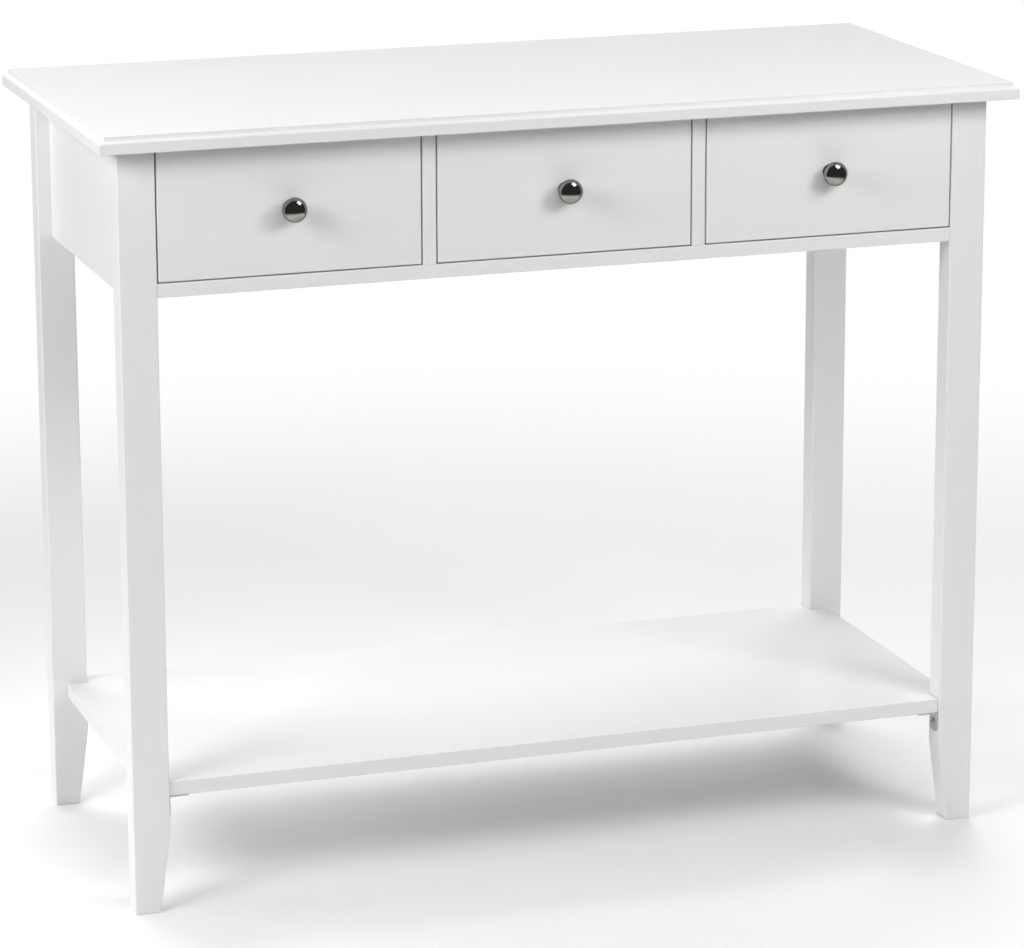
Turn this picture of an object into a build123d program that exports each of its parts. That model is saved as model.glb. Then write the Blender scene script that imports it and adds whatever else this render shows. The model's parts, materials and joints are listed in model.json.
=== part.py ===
from build123d import *
from math import acos, atan2, degrees
import os

# Console table: a moulded top on four tapered legs, three drawers side by side and a low shelf.
# Millimetres. +X is to the right, +Y to the back and +Z up. The origin is on the floor, under
# the middle of the top.

os.makedirs("parts", exist_ok=True)

# ---- Driving sizes ----

# Whole table
table_width = 964.0
table_depth = 440.0
table_height = 800.0

# Top panel, from its underside up: a plain face, a small round shoulder and a hollow
top_thickness = 17.0
front_overhang = 30.0
side_overhang = 23.0
back_overhang = 23.0
face_height = 9.5
shoulder_radius = 2.5
cove_width = 3.0
cove_radius = 5.5

# Legs
leg_width = 38.0
leg_depth = 26.0
foot_width = 26.5
taper_height = 85.0

# Boards
board = 15.0
thin_board = 14.0
edge_round = 1.0
apron_setback = 14.5
back_setback = 3.0
apron_height = 156.0
rail_bottom = 633.5
rail_depth = 60.0

# Lower shelf
shelf_top = 136.5
shelf_front_setback = 3.0
shelf_side_setback = 16.0
shelf_leg_gap = 0.3

# Shelf brackets
bracket_width = 18.0
bracket_leg = 22.0
bracket_sheet = 1.5
bracket_corner = 4.5
bracket_setback = 3.5
bracket_screw_offset = 12.0
bracket_screw_play = 0.4

# Drawers
drawer_gap = 1.5
drawer_top_gap = 2.0
drawer_side = 12.0
drawer_box_gap = 4.0
drawer_box_depth = 325.0
drawer_side_height = 100.0
drawer_side_lift = 8.0
bottom_sheet = 3.0
bottom_groove = 5.0
bottom_lift = 10.0
slack = 0.1
groove_front_gap = 1.0

# Wooden runners in grooves of the drawer sides
runner_height = 12.0
runner_reach = 5.5
groove_depth = 6.0
groove_height = 12.5
runner_middle = 700.0
runner_front_gap = 9.0
runner_length = 320.0
runner_head_sink = 2.5
runner_first_screw = 35.0
runner_screw_pitch = 110.0
runner_screw_count = 3
screw_stagger = 22.0

# Knobs
knob_radius = 12.5
knob_projection = 25.0
knob_head_middle = 15.5
knob_rim_radius = 7.0
knob_neck_radius = 5.0
knob_base_radius = 8.0
knob_base_height = 1.5
knob_base_slope = 2.5
knob_thread_depth = 9.0

# Cam bolts and dowels: fit is the radial play in their holes, play the room at a hole's end
fit = 0.05
play = 0.5
thread_depth = 10.0
thread_radius = 3.0
bolt_radius = 2.5
bolt_head_radius = 3.5
bolt_head_length = 2.5
bolt_collar_length = 2.0
bolt_bore_radius = 4.0
throat_play = 0.2
disc_cross_depth = 1.2
dowel_radius = 4.0
dowel_depth = 10.0
dowel_board_depth = 20.0
drawer_dowel_radius = 3.0
drawer_dowel_depth = 8.0
drawer_dowel_board_depth = 16.0
point_chamfer = 1.0

# Screws and the depths of their pilot holes
screw_radius = 1.75
screw_head_radius = 3.75
screw_head_height = 2.2
divider_screw_length = 34.0
drawer_screw_length = 30.0
runner_screw_grip = 9.0
bracket_screw_grip = 11.0
runner_pilot_depth = 9.5
leg_pilot_depth = 15.0
shelf_pilot_depth = 12.0
divider_pilot_depth = 20.0
knob_screw_radius = 2.0
knob_hole_radius = 2.2
knob_screw_head_radius = 4.0
knob_screw_head_height = 2.6

# Frame cams stand in a flat disc pocket: reach from the joint, radius, and how far the disc
# runs behind and in front of the middle of the board
frame_cam = {"reach": 24.0, "radius": 7.5, "behind": 5.0, "front": 7.0}
drawer_cam = {"reach": 24.0, "radius": 6.0, "behind": 3.5, "front": 5.0}

# Where the joints stand: heights above the floor and distances from the legs' front faces
cam_heights = (660.0, 750.0)
dowel_height = 705.0
rail_dowel_setback = 7.0
rail_cam_setback = 20.0
divider_dowel_setbacks = (12.0, 42.0)
divider_screw_heights = (690.0, 745.0)
top_cam_y = 100.0
top_cam_x = 280.0
drawer_cam_height = 738.0
drawer_dowel_height = 682.0
back_screw_heights = (682.0, 740.0)

# ---- Places worked out from them ----

leg_outer_x = table_width / 2 - side_overhang
leg_inner_x = leg_outer_x - leg_width
leg_front_y = -table_depth / 2 + front_overhang
leg_back_y = table_depth / 2 - back_overhang
leg_top = table_height - top_thickness
front_leg_rear_y = leg_front_y + leg_depth
back_leg_front_y = leg_back_y - leg_depth

apron_outer_x = leg_outer_x - apron_setback
apron_middle_x = apron_outer_x - board / 2
apron_inner_x = apron_outer_x - board
apron_bottom = leg_top - apron_height
back_panel_rear_y = leg_back_y - back_setback
back_panel_front_y = back_panel_rear_y - board
back_panel_middle_y = back_panel_rear_y - board / 2

rail_top = rail_bottom + thin_board
rail_middle = rail_bottom + thin_board / 2
opening_width = (2 * leg_inner_x - 2 * thin_board) / 3
drawer_pitch = opening_width + thin_board
divider_xs = (-drawer_pitch / 2, drawer_pitch / 2)

shelf_bottom = shelf_top - board
shelf_front_y = leg_front_y + shelf_front_setback
shelf_back_y = leg_back_y - shelf_front_setback
shelf_outer_x = leg_outer_x - shelf_side_setback

front_width = opening_width - 2 * drawer_gap
front_bottom = rail_top + drawer_gap
front_top = leg_top - drawer_top_gap
front_middle = (front_bottom + front_top) / 2
front_rear_y = leg_front_y + board
box_outer = opening_width / 2 - drawer_box_gap
box_inner = box_outer - drawer_side
box_middle = box_outer - drawer_side / 2
box_rear_y = front_rear_y + drawer_box_depth
side_bottom = front_bottom + drawer_side_lift
side_top = side_bottom + drawer_side_height
sheet_bottom = side_bottom + bottom_lift
sheet_top = sheet_bottom + bottom_sheet

runner_front_y = front_leg_rear_y + runner_front_gap
runner_rear_y = runner_front_y + runner_length
runner_bottom = runner_middle - runner_height / 2

left_and_right = (-1, 1)
side_names = (("left", -1), ("right", 1))
frame_y = (leg_front_y, leg_back_y)
frame_z = (0, leg_top)


upwards = (Align.CENTER, Align.CENTER, Align.MIN)
downwards = (Align.CENTER, Align.CENTER, Align.MAX)


def save(piece, name):
    """Labels a finished piece and writes it as one STEP file."""
    piece.part.label = name
    export_step(piece.part, f"parts/{name}.step")


def block(x, y, z, mode=Mode.ADD):
    """Adds a box between the given (low, high) pairs to the piece being built, or cuts it out."""
    size = [high - low for low, high in (x, y, z)]
    middle = [(low + high) / 2 for low, high in (x, y, z)]
    with Locations(tuple(middle)):
        Box(*size, mode=mode)


# ---- Joint places ----
# A joint's plane lies on the face where the two pieces meet. Its Z points into the board that
# holds the cam disc or the long end of the dowel, and its X to the disc's open side.


def joint(origin, into_board, open_side=None):
    """Returns the plane of one joint."""
    return Plane(origin=origin, x_dir=open_side, z_dir=into_board)


def apron_joints(side, height):
    """Returns the joints of one side apron with its front and back legs at one height."""
    inward = (-side, 0, 0)
    x = side * apron_middle_x
    return [
        joint((x, front_leg_rear_y, height), (0, 1, 0), inward),
        joint((x, back_leg_front_y, height), (0, -1, 0), inward),
    ]


def panel_joint(side, height):
    """Returns the joint of the back panel with one back leg at one height."""
    origin = (side * leg_inner_x, back_panel_middle_y, height)
    return joint(origin, (-side, 0, 0), (0, -1, 0))


rail_cam_y = leg_front_y + rail_cam_setback
rail_dowel_y = leg_front_y + rail_dowel_setback
apron_cams = [place for side in left_and_right for z in cam_heights for place in apron_joints(side, z)]
panel_cams = [panel_joint(side, z) for side in left_and_right for z in cam_heights]
leg_cams = apron_cams + panel_cams
rail_cams = [
    joint((side * leg_inner_x, rail_cam_y, rail_middle), (-side, 0, 0), (0, 0, -1))
    for side in left_and_right
]

apron_dowels = [place for side in left_and_right for place in apron_joints(side, dowel_height)]
panel_dowels = [panel_joint(side, dowel_height) for side in left_and_right]
leg_dowels = apron_dowels + panel_dowels
rail_dowels = [
    joint((side * leg_inner_x, rail_dowel_y, rail_middle), (-side, 0, 0), (0, 0, -1))
    for side in left_and_right
]
divider_dowels = [
    joint((x, leg_front_y + setback, rail_top), (0, 0, 1), (1, 0, 0))
    for x in divider_xs
    for setback in divider_dowel_setbacks
]
top_dowels = [
    joint((side * (leg_outer_x - leg_width / 2), y, leg_top), (0, 0, -1), (1, 0, 0))
    for side in left_and_right
    for y in (leg_front_y + leg_depth / 2, leg_back_y - leg_depth / 2)
]

top_apron_cams = [
    joint((side * apron_middle_x, y, leg_top), (0, 0, -1), (-side, 0, 0))
    for side in left_and_right
    for y in (-top_cam_y, top_cam_y)
]
top_panel_cams = [
    joint((x, back_panel_middle_y, leg_top), (0, 0, -1), (0, -1, 0))
    for x in (-top_cam_x, 0, top_cam_x)
]
top_divider_cams = [joint((x, -top_cam_y, leg_top), (0, 0, -1), (1, 0, 0)) for x in divider_xs]
top_cams = top_apron_cams + top_panel_cams + top_divider_cams

divider_screw_places = [
    Plane(origin=(x, back_panel_rear_y, z), z_dir=(0, 1, 0))
    for x in divider_xs
    for z in divider_screw_heights
]


def touching(places, x, y=frame_y, z=frame_z):
    """Returns the places whose origin lies on or in the box of the given (low, high) pairs."""
    found = []
    for place in places:
        pairs = zip(place.origin, (x, y, z))
        if all(low - fit <= value <= high + fit for value, (low, high) in pairs):
            found.append(place)
    return found


def drill(places, radius, amount):
    """Drills a round hole at each joint, into the board, or into its host if amount is negative."""
    align = upwards if amount > 0 else downwards
    for place in places:
        with Locations(place):
            Cylinder(radius, abs(amount), align=align, mode=Mode.SUBTRACT)


def drill_cam_board(places, cam):
    """Drills the bolt's bore and the disc's pocket of each cam joint in the board."""
    drill(places, bolt_bore_radius, cam["reach"])
    pockets = [disc_plane(place, cam).offset(-cam["behind"] - fit) for place in places]
    drill(pockets, cam["radius"] + fit, board)


def drill_dowel_board(places):
    """Drills the long ends of the dowel holes in the board."""
    drill(places, dowel_radius + fit, dowel_board_depth)


def drill_cam_host(places):
    """Drills the threaded ends of the cam bolts in the piece that the board is drawn to."""
    drill(places, thread_radius + fit, -thread_depth)


def drill_dowel_host(places):
    """Drills the short ends of the dowel holes."""
    drill(places, dowel_radius + fit, -dowel_depth)


def disc_plane(place, cam):
    """Returns the plane through the middle of the board that a cam disc turns on."""
    origin = place.origin + place.z_dir * cam["reach"]
    return Plane(origin=origin, x_dir=place.z_dir, z_dir=place.x_dir)


# ---- Top panel ----


def moulded_outline(width):
    """Draws the top's cross-section over the given width, underside on the local X axis."""
    half = width / 2
    shoulder_top = face_height + shoulder_radius
    with BuildSketch() as outline:
        with BuildLine():
            under = Line((0, 0), (half, 0))
            face = Line(under @ 1, (half, face_height))
            shoulder = RadiusArc(face @ 1, (half - shoulder_radius, shoulder_top), -shoulder_radius)
            flat_edge = (half - shoulder_radius - cove_width, top_thickness)
            cove = RadiusArc(shoulder @ 1, flat_edge, cove_radius)
            Line(cove @ 1, (0, top_thickness))
            mirror(about=Plane.YZ)
        make_face()
    return outline.sketch


with BuildPart() as top_panel:
    with BuildSketch(Plane(origin=(0, table_depth / 2, leg_top), x_dir=(1, 0, 0), z_dir=(0, -1, 0))):
        add(moulded_outline(table_width))
    extrude(amount=table_depth)
    with BuildSketch(Plane(origin=(-table_width / 2, 0, leg_top), x_dir=(0, 1, 0), z_dir=(1, 0, 0))):
        add(moulded_outline(table_depth))
    extrude(amount=table_width, mode=Mode.INTERSECT)
    drill_cam_host(top_cams)
    drill_dowel_host(top_dowels)
save(top_panel, "top_panel")


# ---- Legs ----


def make_leg(side, front_y):
    """Builds one leg, tapered on its inner side near the foot, with its front face at front_y."""
    outer = side * leg_outer_x
    inner = side * leg_inner_x
    foot = side * (leg_outer_x - foot_width)
    outline = [(outer, 0), (foot, 0), (inner, taper_height), (inner, leg_top), (outer, leg_top)]
    x = sorted((outer, inner))
    y = (front_y, front_y + leg_depth)
    with BuildPart() as leg:
        with BuildSketch(Plane.XZ.offset(-front_y)):
            Polygon(*outline, align=None)
        extrude(amount=-leg_depth)
        upright = leg.edges() - leg.edges().filter_by(Axis.X) - leg.edges().filter_by(Axis.Y)
        fillet(upright, edge_round)
        chamfer(leg.faces().sort_by(Axis.Z)[0].edges(), edge_round / 2)
        drill_cam_host(touching(leg_cams + rail_cams, x, y))
        drill_dowel_host(touching(leg_dowels + rail_dowels, x, y))
        drill_dowel_board(touching(top_dowels, x, y))
        drill(touching(leg_bracket_screws, x, y), screw_radius + fit, -leg_pilot_depth)
    return leg


# ---- Shelf bracket places, one at the inner face of every leg ----


def bracket_plane(side, end):
    """Returns the corner of one bracket, where the leg's face meets the shelf's underside.

    Its X points away from the leg and its Z down. The origin is at the middle of the width.
    """
    face_y = leg_front_y if end < 0 else leg_back_y
    y = face_y - end * (bracket_setback + bracket_width / 2)
    return Plane(origin=(side * leg_inner_x, y, shelf_bottom), x_dir=(-side, 0, 0), z_dir=(0, 0, -1))


bracket_planes = [bracket_plane(side, end) for side in left_and_right for end in left_and_right]
leg_bracket_screws = []
shelf_bracket_screws = []
for corner in bracket_planes:
    on_leg = corner.origin + corner.z_dir * bracket_screw_offset
    on_shelf = corner.origin + corner.x_dir * bracket_screw_offset
    leg_bracket_screws.append(Plane(origin=on_leg, z_dir=corner.x_dir))
    shelf_bracket_screws.append(Plane(origin=on_shelf, z_dir=corner.z_dir))

for end_name, front_y in (("front", leg_front_y), ("back", back_leg_front_y)):
    for side_name, side in side_names:
        save(make_leg(side, front_y), f"leg_{end_name}_{side_name}")


# ---- Side aprons, back panel, front rail and dividers ----


def runner_ys(stagger):
    """Returns where a runner's screws stand, moved back by the stagger."""
    first = runner_front_y + runner_first_screw + stagger
    return [first + step * runner_screw_pitch for step in range(runner_screw_count)]


def runner_screw_planes(face_x, outward, stagger):
    """Returns the planes of one runner's screws on the face that it is screwed to."""
    return [
        Plane(origin=(face_x, y, runner_middle), z_dir=(outward, 0, 0)) for y in runner_ys(stagger)
    ]


for side_name, side in side_names:
    x = sorted((side * apron_inner_x, side * apron_outer_x))
    runner_pilots = runner_screw_planes(side * apron_inner_x, -side, 0.0)
    with BuildPart() as side_apron:
        block(x, (front_leg_rear_y, back_leg_front_y), (apron_bottom, leg_top))
        fillet(side_apron.edges().filter_by(Axis.Y).group_by(Axis.Z)[0], edge_round)
        drill_cam_board(touching(apron_cams + top_apron_cams, x), frame_cam)
        drill_dowel_board(touching(apron_dowels, x))
        drill(runner_pilots, screw_radius + fit, -runner_pilot_depth)
    save(side_apron, f"side_apron_{side_name}")

with BuildPart() as back_panel:
    panel_y = (back_panel_front_y, back_panel_rear_y)
    block((-leg_inner_x, leg_inner_x), panel_y, (apron_bottom, leg_top))
    fillet(back_panel.edges().filter_by(Axis.X).group_by(Axis.Z)[0], edge_round)
    drill_cam_board(panel_cams + top_panel_cams, frame_cam)
    drill_dowel_board(panel_dowels)
    with Locations(*divider_screw_places):
        CounterSinkHole(screw_radius + fit, screw_head_radius + fit)
save(back_panel, "back_panel")

with BuildPart() as front_rail:
    rail_y = (leg_front_y, leg_front_y + rail_depth)
    block((-leg_inner_x, leg_inner_x), rail_y, (rail_bottom, rail_top))
    fillet(front_rail.edges().filter_by(Axis.X).group_by(Axis.Y)[0], edge_round)
    drill_cam_board(rail_cams, frame_cam)
    drill_dowel_board(rail_dowels)
    drill_dowel_host(divider_dowels)
save(front_rail, "front_rail")

for (side_name, _), divider_x in zip(side_names, divider_xs):
    x = (divider_x - thin_board / 2, divider_x + thin_board / 2)
    y = (leg_front_y, back_panel_front_y)
    with BuildPart() as divider:
        block(x, y, (rail_top, leg_top))
        fillet(divider.edges().filter_by(Axis.Z).group_by(Axis.Y)[0], edge_round)
        drill_cam_board(touching(top_divider_cams, x), frame_cam)
        drill_dowel_board(touching(divider_dowels, x))
        drill(runner_screw_planes(x[0], -1, 0.0), screw_radius + fit, -runner_pilot_depth)
        drill(runner_screw_planes(x[1], 1, screw_stagger), screw_radius + fit, -runner_pilot_depth)
        drill(touching(divider_screw_places, x), screw_radius + fit, -board - divider_pilot_depth)
    save(divider, f"divider_{side_name}")


# ---- Lower shelf, notched round the legs ----

notch_x = leg_inner_x - shelf_leg_gap
notch_front_y = front_leg_rear_y + shelf_leg_gap
notch_back_y = back_leg_front_y - shelf_leg_gap

with BuildPart() as lower_shelf:
    block((-notch_x, notch_x), (shelf_front_y, shelf_back_y), (shelf_bottom, shelf_top))
    block((-shelf_outer_x, shelf_outer_x), (notch_front_y, notch_back_y), (shelf_bottom, shelf_top))
    long_edges = lower_shelf.edges().filter_by(Axis.X).group_by(Axis.Y)
    side_edges = lower_shelf.edges().filter_by(Axis.Y).group_by(Axis.X)
    fillet(long_edges[0] + long_edges[-1] + side_edges[0] + side_edges[-1], edge_round)
    drill(shelf_bracket_screws, screw_radius + fit, -shelf_pilot_depth)
save(lower_shelf, "lower_shelf")


# ---- Runners ----
# The outer runners stand on the side aprons and fill the space to the legs' inner faces. The
# inner ones stand on the dividers. All reach the same way into the drawer sides' grooves.


def make_runner(face_x, outward, width, stagger):
    """Builds one runner strip on the given face, its screw heads sunk below its own face."""
    far_x = face_x + outward * width
    head_sink = width - drawer_box_gap - runner_reach + runner_head_sink
    with BuildPart() as runner:
        block(
            sorted((face_x, far_x)),
            (runner_front_y, runner_rear_y),
            (runner_bottom, runner_bottom + runner_height),
        )
        chamfer(runner.edges().filter_by(Axis.Z), edge_round)
        with Locations(*runner_screw_planes(far_x, outward, stagger)):
            CounterBoreHole(screw_radius + fit, screw_head_radius + fit, head_sink)
    return runner


inner_runner_width = drawer_box_gap + runner_reach
outer_runner_width = apron_inner_x - leg_inner_x + inner_runner_width
half_divider = thin_board / 2
runner_screw_seats = []
runners = {
    "runner_left_outer": (-apron_inner_x, 1, outer_runner_width, 0.0),
    "runner_left_inner": (divider_xs[0] - half_divider, -1, inner_runner_width, 0.0),
    "runner_middle_left": (divider_xs[0] + half_divider, 1, inner_runner_width, screw_stagger),
    "runner_middle_right": (divider_xs[1] - half_divider, -1, inner_runner_width, 0.0),
    "runner_right_inner": (divider_xs[1] + half_divider, 1, inner_runner_width, screw_stagger),
    "runner_right_outer": (apron_inner_x, -1, outer_runner_width, 0.0),
}
seat_height = inner_runner_width - runner_head_sink
for name, (face_x, outward, width, stagger) in runners.items():
    save(make_runner(face_x, outward, width, stagger), name)
    seat_x = face_x + outward * seat_height
    runner_screw_seats += runner_screw_planes(seat_x, outward, stagger)


# ---- Shelf brackets: zinc-plated angles with rounded free corners ----

with BuildPart() as bracket:
    with BuildSketch(Plane.XZ.offset(-bracket_width / 2)):
        with BuildLine():
            Polyline(
                (0, 0),
                (bracket_leg, 0),
                (bracket_leg, bracket_sheet),
                (bracket_sheet, bracket_sheet),
                (bracket_sheet, bracket_leg),
                (0, bracket_leg),
                close=True,
            )
        make_face()
    extrude(amount=bracket_width)
    inner_bend = bracket.edges().filter_by(Axis.Y).sort_by(Axis((0, 0, 0), (1, 0, 1)))[1:2]
    fillet(inner_bend, bracket_sheet / 2)
    fillet(bracket.edges().filter_by(Axis.Z).group_by(Axis.X)[-1], bracket_corner)
    fillet(bracket.edges().filter_by(Axis.X).group_by(Axis.Z)[-1], bracket_corner)
    with Locations(Plane(origin=(bracket_screw_offset, 0, bracket_sheet), z_dir=(0, 0, 1))):
        Hole(screw_radius + bracket_screw_play)
    with Locations(Plane(origin=(bracket_sheet, 0, bracket_screw_offset), z_dir=(1, 0, 0))):
        Hole(screw_radius + bracket_screw_play)

with BuildPart() as shelf_brackets:
    with Locations(*bracket_planes):
        add(bracket.part)
save(shelf_brackets, "shelf_brackets")


# ---- Fasteners ----
# Each is built once, along Z with its seat at Z = 0 and its shank below, and then placed.


def cut_cross(radius, top_z, depth):
    """Cuts a cross recess for a screwdriver into the head that ends at top_z."""
    arm = radius * 1.15
    slot = arm / 4
    with Locations((0, 0, top_z)):
        Box(arm, slot, 2 * depth, mode=Mode.SUBTRACT)
        Box(slot, arm, 2 * depth, mode=Mode.SUBTRACT)


def pan_screw(radius, head_radius, head_height, length):
    """Builds a screw with a flat seat under a rounded head."""
    with BuildPart() as screw:
        Cylinder(radius, length, align=downwards)
        Cylinder(head_radius, head_height, align=upwards)
        fillet(screw.edges().sort_by(Axis.Z)[-1], head_height * 0.6)
        chamfer(screw.edges().sort_by(Axis.Z)[0], radius * 0.6)
        cut_cross(head_radius, head_height, head_height * 0.6)
    return screw.part


def flat_screw(radius, head_radius, length):
    """Builds a countersunk screw whose head's face is at Z = 0."""
    head_height = head_radius - radius
    with BuildPart() as screw:
        with Locations((0, 0, -head_height)):
            Cylinder(radius, length - head_height, align=downwards)
            Cone(radius, head_radius, head_height, align=upwards)
        chamfer(screw.edges().sort_by(Axis.Z)[0], radius * 0.6)
        cut_cross(head_radius, 0, head_height * 0.5)
    return screw.part


def cam_bolt(cam):
    """Builds a cam bolt: thread in the host below Z = 0, shank and head in the board above it."""
    with BuildPart() as bolt:
        Cylinder(thread_radius, thread_depth - fit, align=downwards)
        Cylinder(bolt_head_radius, bolt_collar_length, align=upwards)
        Cylinder(bolt_radius, cam["reach"], align=upwards)
        with Locations((0, 0, cam["reach"])):
            Cylinder(bolt_head_radius, bolt_head_length, align=downwards)
        chamfer(bolt.edges().sort_by(Axis.Z)[0], point_chamfer)
    return bolt.part


def cam_disc(cam):
    """Builds a cam disc on the plane of its board's middle, with its throat open to the joint."""
    height = cam["behind"] + cam["front"]
    with BuildPart() as disc:
        with BuildSketch(Plane.XY.offset(-cam["behind"])):
            Circle(cam["radius"])
        extrude(amount=height)
        with BuildSketch(Plane.YZ.offset(-cam["radius"])):
            Circle(bolt_head_radius + throat_play)
        extrude(amount=cam["radius"] + play, mode=Mode.SUBTRACT)
        cut_cross(cam["radius"] * 0.8, cam["front"], disc_cross_depth)
    return disc.part


def dowel(short_end, long_end, radius):
    """Builds a chamfered wood dowel across the joint at Z = 0."""
    with BuildPart() as peg:
        with BuildSketch(Plane.XY.offset(-short_end)):
            Circle(radius)
        extrude(amount=short_end + long_end)
        chamfer(peg.edges().filter_by(GeomType.CIRCLE), point_chamfer)
    return peg.part


def place_all(piece, places, name):
    """Saves one node that holds a copy of the piece at every place."""
    with BuildPart() as group:
        with Locations(*places):
            add(piece)
    save(group, name)


def wood_screw(length):
    """Builds a pan-head screw of the size that holds the runners and brackets."""
    return pan_screw(screw_radius, screw_head_radius, screw_head_height, length)


frame_dowel = dowel(dowel_depth - play, dowel_board_depth - play, dowel_radius)
divider_screw = flat_screw(screw_radius, screw_head_radius, divider_screw_length)
place_all(frame_dowel, leg_dowels + rail_dowels + divider_dowels + top_dowels, "frame_dowels")
place_all(divider_screw, divider_screw_places, "divider_screws")

for cams, prefix in ((leg_cams + rail_cams, "frame_cam"), (top_cams, "top_cam")):
    place_all(cam_bolt(frame_cam), cams, f"{prefix}_bolts")
    place_all(cam_disc(frame_cam), [disc_plane(place, frame_cam) for place in cams], f"{prefix}_discs")

runner_screw = wood_screw(seat_height + runner_screw_grip)
place_all(runner_screw, runner_screw_seats, "runner_screws")
bracket_screw = wood_screw(bracket_sheet + bracket_screw_grip)
bracket_screw_seats = [
    place.offset(bracket_sheet) for place in leg_bracket_screws + shelf_bracket_screws
]
place_all(bracket_screw, bracket_screw_seats, "bracket_screws")


# ---- Knob: a turned base and neck under a flattened ball, with a blind bore ----
# The ball's outline is a round rim that runs on, tangent, into a wider dome.

rim_centre = knob_radius - knob_rim_radius
head_rise = knob_projection - knob_head_middle
dome_radius = (head_rise**2 + rim_centre**2 - knob_rim_radius**2) / (2 * (head_rise - knob_rim_radius))
dome_centre = knob_projection - dome_radius
under_angle = degrees(acos((knob_neck_radius - rim_centre) / knob_rim_radius))
tangent_angle = degrees(atan2(knob_head_middle - dome_centre, rim_centre))
bore_radius = knob_screw_radius + fit

with BuildPart() as knob:
    with BuildSketch(Plane.XZ):
        with BuildLine():
            base = Polyline(
                (0, knob_thread_depth),
                (bore_radius, knob_thread_depth),
                (bore_radius, 0),
                (knob_base_radius, 0),
                (knob_base_radius, knob_base_height),
            )
            neck_foot = (knob_neck_radius, knob_base_height + knob_base_slope)
            slope = RadiusArc(base @ 1, neck_foot, knob_base_slope * 1.6)
            rim_sweep = under_angle + tangent_angle
            rim_arc = CenterArc(
                (rim_centre, knob_head_middle), knob_rim_radius, -under_angle, rim_sweep
            )
            dome = CenterArc((0, dome_centre), dome_radius, tangent_angle, 90 - tangent_angle)
            Line(slope @ 1, rim_arc @ 0)
            Line(dome @ 1, base @ 0)
        make_face()
    revolve(axis=Axis.Z)

knob_screw = pan_screw(
    knob_screw_radius,
    knob_screw_head_radius,
    knob_screw_head_height,
    board + knob_thread_depth - play,
)


# ---- Drawers ----

back_screw_y = box_rear_y - drawer_side / 2


def drawer_joints(middle_x, height):
    """Returns the joints of both drawer sides with the front at one height."""
    return [
        joint((middle_x + side * box_middle, front_rear_y, height), (0, 1, 0), (-side, 0, 0))
        for side in left_and_right
    ]


def back_screw_planes(middle_x, side):
    """Returns the planes of the screws through one drawer side into the drawer's back."""
    x = middle_x + side * box_outer
    return [Plane(origin=(x, back_screw_y, z), z_dir=(side, 0, 0)) for z in back_screw_heights]


def make_drawer_front(middle_x):
    """Builds the drawer front with its knob hole and the groove for the bottom sheet."""
    half = front_width / 2
    groove_half = box_inner + bottom_groove
    with BuildPart() as front:
        x = (middle_x - half, middle_x + half)
        block(x, (leg_front_y, front_rear_y), (front_bottom, front_top))
        fillet(front.faces().sort_by(Axis.Y)[0].edges(), edge_round)
        with BuildSketch(Plane.XZ.offset(-front_rear_y)):
            with Locations((middle_x, (sheet_bottom + sheet_top) / 2)):
                Rectangle(2 * groove_half, bottom_sheet + 2 * slack)
        extrude(amount=bottom_groove, mode=Mode.SUBTRACT)
        with BuildSketch(Plane.XZ.offset(-leg_front_y)):
            with Locations((middle_x, front_middle)):
                Circle(knob_hole_radius)
        extrude(amount=-board, mode=Mode.SUBTRACT)
        drill(drawer_joints(middle_x, drawer_cam_height), thread_radius + fit, -thread_depth)
        drill(drawer_joints(middle_x, drawer_dowel_height), drawer_dowel_radius + fit, -drawer_dowel_depth)
    return front


def make_drawer_side(middle_x, side):
    """Builds one drawer side with the runner's groove outside and the sheet's groove inside."""
    outer_x = middle_x + side * box_outer
    inner_x = middle_x + side * box_inner
    x = sorted((outer_x, inner_x))
    groove_x = sorted((outer_x, outer_x - side * groove_depth))
    sheet_x = sorted((inner_x, inner_x + side * bottom_groove))
    groove_top = runner_bottom + runner_height + slack
    groove_bottom = groove_top - groove_height
    groove_front_y = runner_front_y - groove_front_gap
    all_y = (front_rear_y, box_rear_y)
    cams = drawer_joints(middle_x, drawer_cam_height)
    dowels = drawer_joints(middle_x, drawer_dowel_height)
    with BuildPart() as wall:
        block(x, all_y, (side_bottom, side_top))
        fillet(wall.edges().filter_by(Axis.Y).group_by(Axis.Z)[-1], edge_round)
        block(groove_x, (groove_front_y, box_rear_y), (groove_bottom, groove_top), Mode.SUBTRACT)
        block(sheet_x, all_y, (sheet_bottom - slack, sheet_top + slack), Mode.SUBTRACT)
        drill_cam_board(touching(cams, x), drawer_cam)
        drill(touching(dowels, x), drawer_dowel_radius + fit, drawer_dowel_board_depth)
        with Locations(*back_screw_planes(middle_x, side)):
            CounterSinkHole(screw_radius + fit, screw_head_radius + fit)
    return wall


def make_drawer_back(middle_x):
    """Builds the drawer's back, which stands between the sides on the bottom sheet."""
    with BuildPart() as wall:
        block(
            (middle_x - box_inner, middle_x + box_inner),
            (box_rear_y - drawer_side, box_rear_y),
            (sheet_top + slack, side_top),
        )
        fillet(wall.edges().filter_by(Axis.X).group_by(Axis.Z)[-1], edge_round)
        for side in left_and_right:
            drill(back_screw_planes(middle_x, side), screw_radius + fit, -drawer_screw_length)
    return wall


def make_drawer_bottom(middle_x):
    """Builds the thin bottom sheet, held in the grooves of the front and the sides."""
    half = box_inner + bottom_groove - 2 * slack
    with BuildPart() as sheet:
        block(
            (middle_x - half, middle_x + half),
            (front_rear_y - bottom_groove + 2 * slack, box_rear_y),
            (sheet_bottom, sheet_top),
        )
    return sheet


drawer_dowel = dowel(drawer_dowel_depth - play, drawer_dowel_board_depth - play, drawer_dowel_radius)
drawer_screw = flat_screw(screw_radius, screw_head_radius, drawer_screw_length)

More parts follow.
